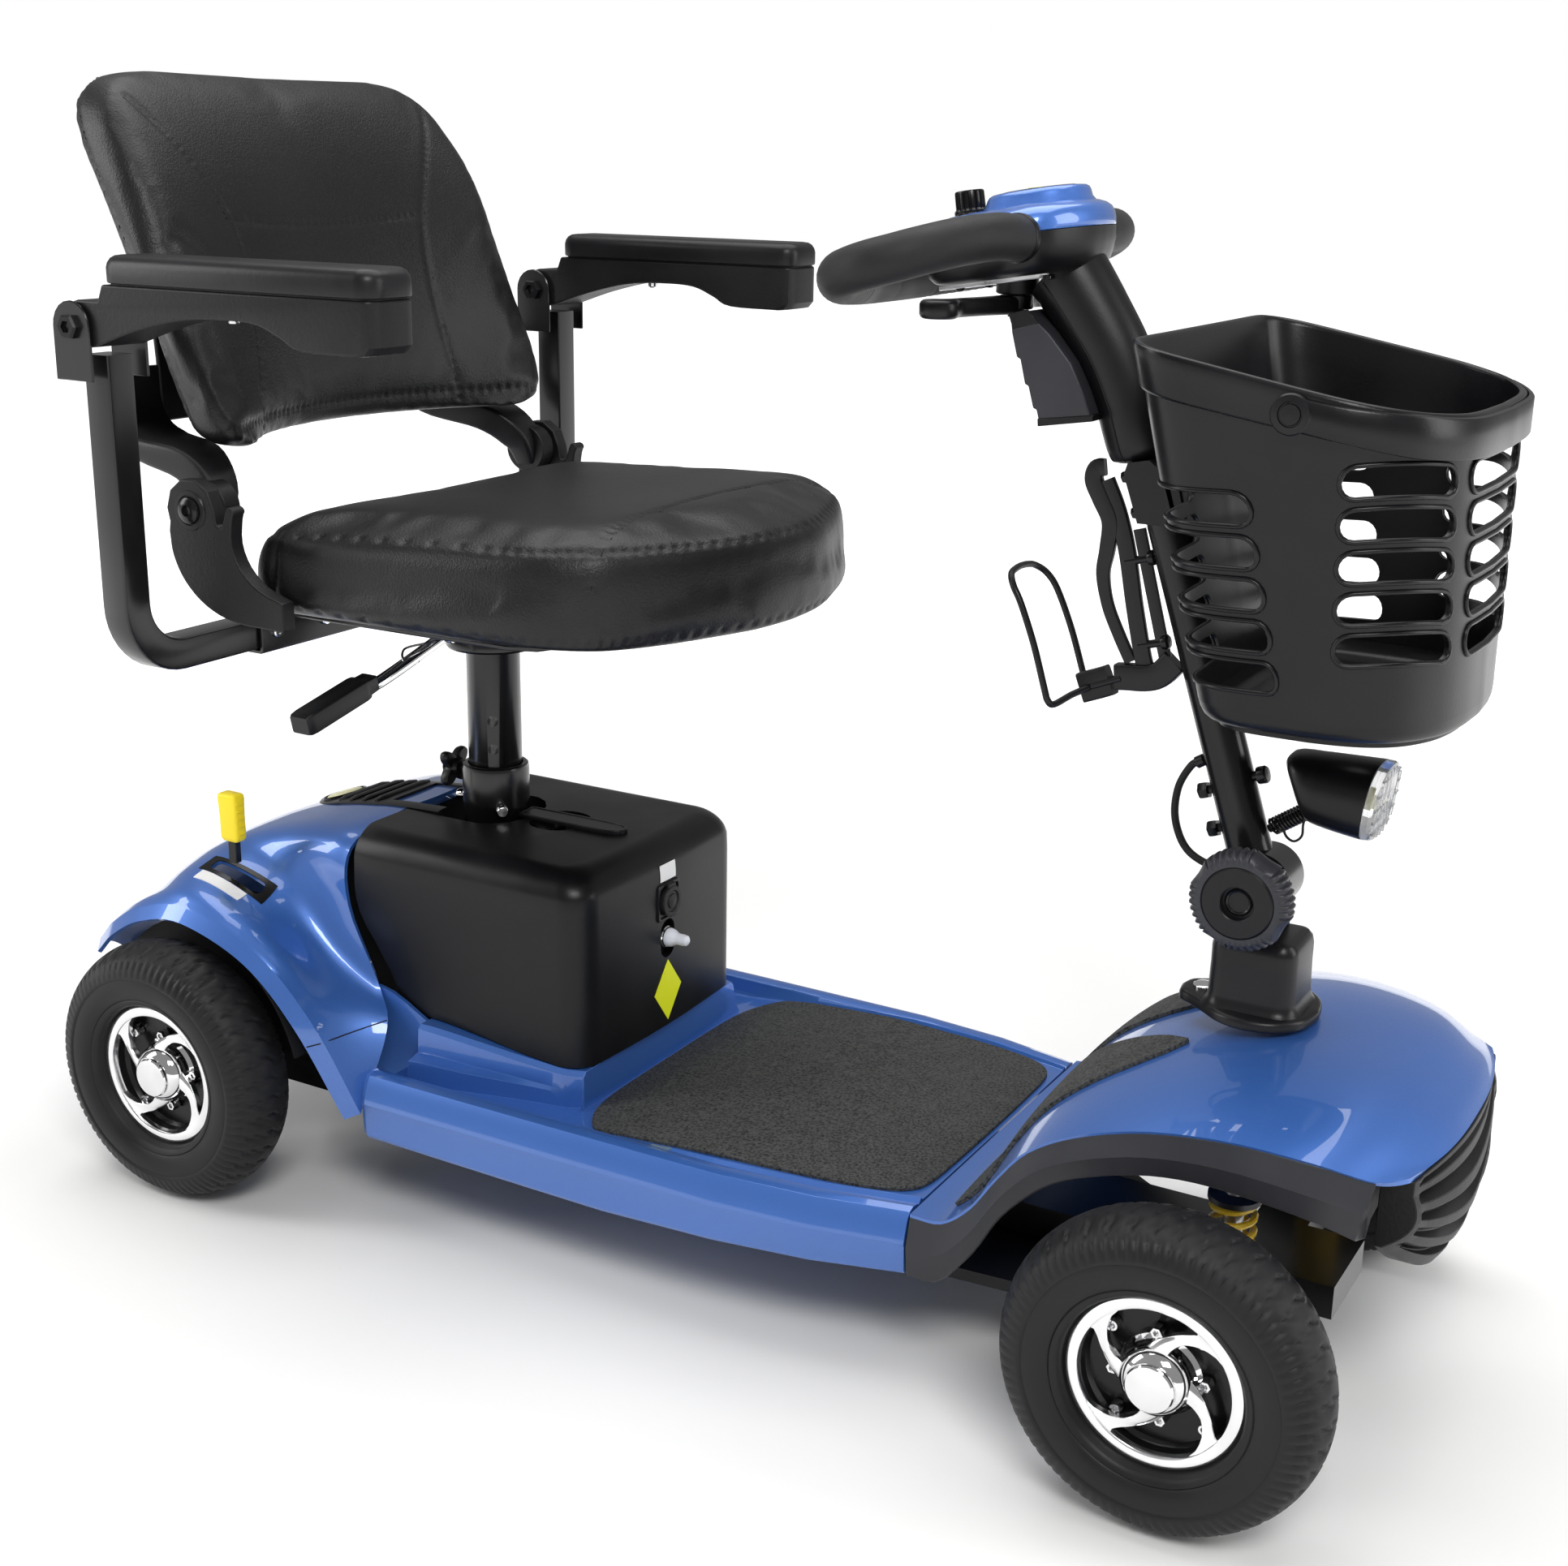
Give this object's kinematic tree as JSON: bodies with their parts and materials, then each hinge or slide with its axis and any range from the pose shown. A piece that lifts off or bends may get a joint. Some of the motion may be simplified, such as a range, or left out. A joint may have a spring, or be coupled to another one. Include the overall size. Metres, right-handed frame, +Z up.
{
  "type": "four-wheel mobility scooter",
  "caption": "Mobility scooter with a swivel seat, folding tiller with looped handlebar, front basket, tilting headlight, lift-out battery pack and solid-tyred alloy wheels.",
  "frame": {"origin": "floor level, at the centre of the scooter's length and width, under the deck", "axes": "+X is the direction of travel, +Y is the rider's left, +Z is up"},
  "size_m": [1.1592, 0.611, 0.932],
  "materials": {
    "blue_paint": "glossy metallic blue paint over moulded panels",
    "black_plastic": "moulded black plastic, satin",
    "trim_plastic": "dark grey moulded plastic, satin",
    "grip_mat": "ribbed black rubber mat",
    "black_steel": "black powder-coated steel",
    "bare_steel": "dull plated steel",
    "chrome": "bright chrome plate",
    "alloy": "polished and machined aluminium",
    "tyre_rubber": "black tyre rubber",
    "seat_vinyl": "black upholstery vinyl",
    "foam_grip": "black foam grip tubing",
    "yellow_plastic": "yellow moulded plastic",
    "clear_lens": "clear polished lens",
    "white_plastic": "white moulded plastic"
  },
  "bodies": {
    "chassis": {"chassis_frame": "bare_steel", "deck_shell": "blue_paint", "deck_mat": "grip_mat", "bonnet_mat": "grip_mat", "bonnet": "blue_paint", "fender_trim": "trim_plastic", "front_bumper": "black_plastic", "under_cover": "black_plastic", "rear_shroud": "blue_paint", "vent_panel": "black_plastic", "seat_socket": "black_steel", "transaxle": "bare_steel"},
    "wheel_rear_left": {"tyre_rear_left": "tyre_rubber", "rim_rear_left": "alloy"},
    "wheel_rear_right": {"tyre_rear_right": "tyre_rubber", "rim_rear_right": "alloy"},
    "steering_knuckle_left": {"knuckle_left": "bare_steel"},
    "steering_knuckle_right": {"knuckle_right": "bare_steel"},
    "wheel_front_left": {"tyre_front_left": "tyre_rubber", "rim_front_left": "alloy"},
    "wheel_front_right": {"tyre_front_right": "tyre_rubber", "rim_front_right": "alloy"},
    "freewheel_lever": {"freewheel_lever": "yellow_plastic"},
    "battery_pack": {"battery_box": "black_plastic", "battery_cells": "trim_plastic"},
    "battery_handle": {"battery_handle": "black_plastic"},
    "charge_cap": {"charge_cap": "black_plastic"},
    "reset_button": {"reset_button": "white_plastic"},
    "post_knob": {"post_knob": "black_plastic"},
    "seat_post": {"seat_post": "black_steel"},
    "seat": {"seat_frame": "black_steel", "seat_cushion": "seat_vinyl", "side_bracket_left": "black_plastic", "side_bracket_right": "black_plastic"},
    "swivel_lever": {"swivel_lever": "chrome"},
    "backrest": {"back_frame": "black_plastic", "backrest_cushion": "seat_vinyl"},
    "armrest_upright_left": {"armrest_tube_left": "black_steel"},
    "armrest_upright_right": {"armrest_tube_right": "black_steel"},
    "armrest_left": {"arm_base_left": "black_plastic", "arm_pad_left": "black_plastic"},
    "armrest_right": {"arm_base_right": "black_plastic", "arm_pad_right": "black_plastic"},
    "steering_column": {"tiller_socket": "black_plastic"},
    "angle_knob": {"angle_knob": "trim_plastic"},
    "tiller": {"tiller_tube": "black_steel", "tiller_neck": "black_plastic", "console_lower": "black_plastic", "console_top": "blue_paint", "handlebar": "foam_grip", "accessory_case": "black_plastic", "basket_bracket": "black_plastic", "bottle_holder": "black_plastic", "column_cable": "black_plastic"},
    "speed_knob": {"speed_knob": "black_plastic"},
    "throttle_lever": {"throttle_lever": "black_plastic"},
    "basket": {"basket": "black_plastic"},
    "basket_handle": {"basket_handle": "black_plastic"},
    "headlight": {"headlight_body": "black_plastic", "headlight_lens": "clear_lens"}
  },
  "joints": [
    {"name": "steering", "type": "hinge", "parent": "chassis", "child": "steering_column", "pos_m": [0.414, 0, 0.29], "axis": [0, 0, 1], "range_deg": [-30, 30]},
    {"name": "knuckle_left_steer", "type": "hinge", "parent": "chassis", "child": "steering_knuckle_left", "pos_m": [0.436, 0.165, 0.114], "axis": [0, 0, 1], "range_deg": [-30, 30]},
    {"name": "knuckle_right_steer", "type": "hinge", "parent": "chassis", "child": "steering_knuckle_right", "pos_m": [0.436, -0.165, 0.114], "axis": [0, 0, 1], "range_deg": [-30, 30]},
    {"name": "wheel_front_left_spin", "type": "hinge", "parent": "steering_knuckle_left", "child": "wheel_front_left", "pos_m": [0.436, 0.215, 0.114], "axis": [0, 1, 0], "continuous": true},
    {"name": "wheel_front_right_spin", "type": "hinge", "parent": "steering_knuckle_right", "child": "wheel_front_right", "pos_m": [0.436, -0.215, 0.114], "axis": [0, 1, 0], "continuous": true},
    {"name": "wheel_rear_left_spin", "type": "hinge", "parent": "chassis", "child": "wheel_rear_left", "pos_m": [-0.456, 0.213, 0.114], "axis": [0, 1, 0], "continuous": true},
    {"name": "wheel_rear_right_spin", "type": "hinge", "parent": "chassis", "child": "wheel_rear_right", "pos_m": [-0.456, -0.213, 0.114], "axis": [0, 1, 0], "continuous": true},
    {"name": "tiller_angle", "type": "hinge", "parent": "steering_column", "child": "tiller", "pos_m": [0.412, 0, 0.386], "axis": [0, 1, 0], "range_deg": [-12, 25]},
    {"name": "angle_knob_turn", "type": "hinge", "parent": "steering_column", "child": "angle_knob", "pos_m": [0.412, -0.05, 0.386], "axis": [0, 1, 0], "range_deg": [-270, 270]},
    {"name": "speed_knob_turn", "type": "hinge", "parent": "tiller", "child": "speed_knob", "pos_m": [0.162, 0, 0.829], "axis": [-0.1564, 0, 0.9877], "range_deg": [-135, 135]},
    {"name": "throttle_turn", "type": "hinge", "parent": "tiller", "child": "throttle_lever", "pos_m": [0.199, 0, 0.7765], "axis": [0, 0, 1], "range_deg": [-14, 14], "stiffness_Nm_per_rad": 0.8},
    {"name": "basket_lift", "type": "slide", "parent": "tiller", "child": "basket", "axis": [0, 0, 1], "range_m": [0, 0.06]},
    {"name": "basket_handle_swing", "type": "hinge", "parent": "basket", "child": "basket_handle", "pos_m": [0.447, 0, 0.7306], "axis": [0, -1, 0], "range_deg": [0, 80]},
    {"name": "headlight_tilt", "type": "hinge", "parent": "tiller", "child": "headlight", "pos_m": [0.4175, 0, 0.4255], "axis": [0, 1, 0], "range_deg": [-15, 20]},
    {"name": "seat_post_height", "type": "slide", "parent": "chassis", "child": "seat_post", "axis": [0, 0, 1], "range_m": [-0.02, 0.05]},
    {"name": "post_knob_turn", "type": "hinge", "parent": "chassis", "child": "post_knob", "pos_m": [-0.301, 0, 0.352], "axis": [1, 0, 0], "range_deg": [-180, 180]},
    {"name": "seat_swivel", "type": "hinge", "parent": "seat_post", "child": "seat", "pos_m": [-0.272, 0, 0.49], "axis": [0, 0, 1], "range_deg": [-20, 20]},
    {"name": "swivel_release", "type": "hinge", "parent": "seat", "child": "swivel_lever", "pos_m": [-0.275, -0.046, 0.49], "axis": [1, 0, 0], "range_deg": [0, 6], "stiffness_Nm_per_rad": 8},
    {"name": "backrest_fold", "type": "hinge", "parent": "seat", "child": "backrest", "pos_m": [-0.382, 0, 0.603], "axis": [0, 1, 0], "range_deg": [0, 50]},
    {"name": "armrest_width_left", "type": "slide", "parent": "seat", "child": "armrest_upright_left", "axis": [0, 1, 0], "range_m": [0, 0.04]},
    {"name": "armrest_width_right", "type": "slide", "parent": "seat", "child": "armrest_upright_right", "axis": [0, -1, 0], "range_m": [0, 0.04]},
    {"name": "armrest_flip_left", "type": "hinge", "parent": "armrest_upright_left", "child": "armrest_left", "pos_m": [-0.41, 0.28, 0.745], "axis": [0, -1, 0], "range_deg": [0, 88]},
    {"name": "armrest_flip_right", "type": "hinge", "parent": "armrest_upright_right", "child": "armrest_right", "pos_m": [-0.41, -0.28, 0.745], "axis": [0, -1, 0], "range_deg": [0, 88]},
    {"name": "battery_lift", "type": "slide", "parent": "chassis", "child": "battery_pack", "axis": [0, 0, 1], "range_m": [0, 0.05]},
    {"name": "battery_handle_lift", "type": "hinge", "parent": "battery_pack", "child": "battery_handle", "pos_m": [-0.136, 0, 0.3213], "axis": [0, 1, 0], "range_deg": [0, 70]},
    {"name": "charge_cap_open", "type": "hinge", "parent": "battery_pack", "child": "charge_cap", "pos_m": [-0.091, 0, 0.2835], "axis": [0, -1, 0], "range_deg": [0, 100]},
    {"name": "reset_press", "type": "slide", "parent": "battery_pack", "child": "reset_button", "axis": [-1, 0, 0], "range_m": [0, 0.002], "stiffness_N_per_m": 400},
    {"name": "freewheel_turn", "type": "hinge", "parent": "chassis", "child": "freewheel_lever", "pos_m": [-0.443, -0.145, 0.287], "axis": [0, 1, 0], "range_deg": [-18, 28]}
  ],
  "couplings": [
    {"joint": "knuckle_left_steer", "follows": "steering", "ratio": 1},
    {"joint": "knuckle_right_steer", "follows": "steering", "ratio": 1}
  ]
}
